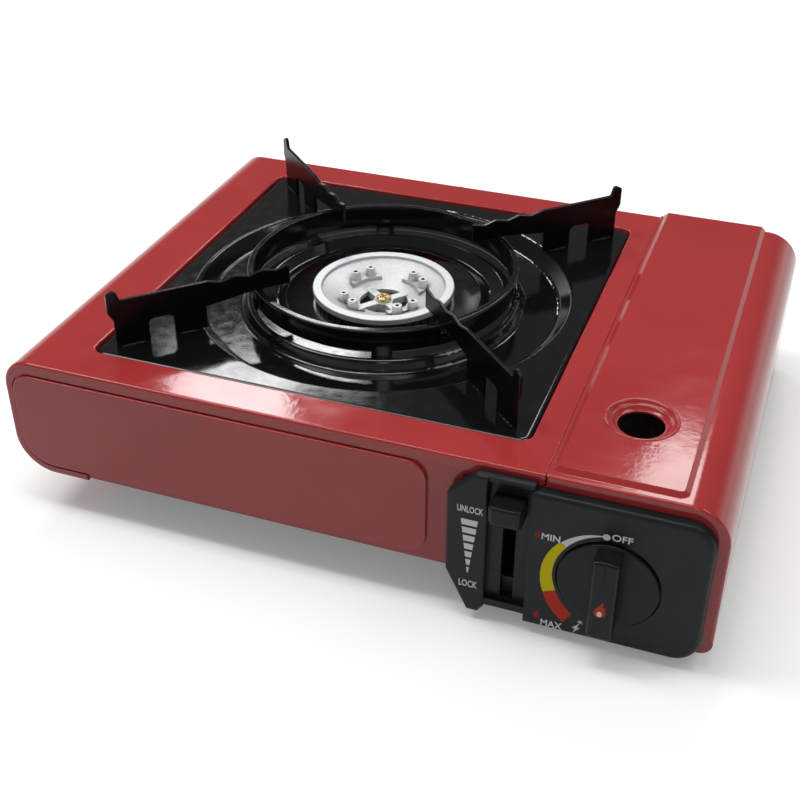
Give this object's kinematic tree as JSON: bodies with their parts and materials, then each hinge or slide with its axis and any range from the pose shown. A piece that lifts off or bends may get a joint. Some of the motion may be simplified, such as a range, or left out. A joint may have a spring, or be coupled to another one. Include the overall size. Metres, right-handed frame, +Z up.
{
  "type": "portable gas stove",
  "caption": "Low table-top cassette stove: rounded sheet casing, square drip pan with pot support over a round burner, hinged canister lid at the right, lock lever and gas knob in front.",
  "frame": {"origin": "middle of the bounding box at the table surface that the feet stand on", "axes": "+X along the width to the canister side, +Y to the back, +Z up; the control panel faces -Y"},
  "size_m": [0.342, 0.2782, 0.1118],
  "materials": {
    "red_paint": "glossy red baked paint on steel sheet",
    "black_enamel": "glossy black enamel with a fine orange-peel texture",
    "zinc_steel": "zinc-plated steel",
    "cast_aluminium": "bare die-cast aluminium, machined on the rim",
    "brass": "plain brass",
    "panel_plastic": "charcoal moulded plastic, satin",
    "knob_plastic": "dark moulded plastic, fine grain",
    "rubber": "black rubber",
    "white_ceramic": "glazed white ceramic"
  },
  "bodies": {
    "stove_body": {"main_casing": "red_paint", "front_plate": "red_paint", "back_plate": "red_paint", "back_plate_screws": "zinc_steel", "base_plate": "zinc_steel", "partition": "zinc_steel", "canister_tray": "red_paint", "left_feet": "rubber", "right_feet": "rubber", "lid_pivot_pins": "zinc_steel", "lid_catch": "zinc_steel", "control_panel": "panel_plastic", "panel_screws": "zinc_steel", "burner_head": "cast_aluminium", "flame_port_band": "cast_aluminium", "burner_base": "cast_aluminium", "burner_screw": "brass", "mixing_tube": "zinc_steel", "gas_jet": "brass", "regulator_body": "cast_aluminium", "regulator_screws": "zinc_steel", "canister_seat": "brass", "seat_seal": "rubber", "notch_key": "zinc_steel", "burner_bracket": "zinc_steel", "bracket_screws": "zinc_steel", "electrode_bracket": "zinc_steel", "electrode_insulator": "white_ceramic", "spark_electrode": "zinc_steel", "piezo_igniter": "panel_plastic", "ignition_lead": "rubber"},
    "pan_body": {"drip_pan": "black_enamel", "support_ring": "black_enamel", "support_arm_front_left": "black_enamel", "support_arm_front_right": "black_enamel", "support_arm_back_right": "black_enamel", "support_arm_back_left": "black_enamel"},
    "lid_body": {"canister_lid": "red_paint"},
    "knob_body": {"gas_knob": "knob_plastic", "valve_stem": "brass"},
    "lever_body": {"lock_lever": "knob_plastic", "lever_follower": "zinc_steel"},
    "clamp_body": {"clamp_carriage": "zinc_steel", "clamp_cam_plate": "zinc_steel"}
  },
  "joints": [
    {"name": "pan_lift", "type": "slide", "parent": "stove_body", "child": "pan_body", "axis": [0, 0, 1], "range_m": [0, 0.08]},
    {"name": "lid_hinge", "type": "hinge", "parent": "stove_body", "child": "lid_body", "pos_m": [0.165, 0, 0.0132], "axis": [0, 1, 0], "range_deg": [0, 95]},
    {"name": "knob_turn", "type": "hinge", "parent": "stove_body", "child": "knob_body", "pos_m": [0.1248, -0.12, 0.038], "axis": [0, -1, 0], "range_deg": [0, 150]},
    {"name": "lever_slide", "type": "slide", "parent": "stove_body", "child": "lever_body", "axis": [0, 0, -1], "range_m": [0, 0.04]},
    {"name": "clamp_slide", "type": "slide", "parent": "stove_body", "child": "clamp_body", "axis": [0, -1, 0], "range_m": [0, 0.006]}
  ],
  "couplings": [
    {"joint": "clamp_slide", "follows": "lever_slide", "ratio": 0.15}
  ]
}
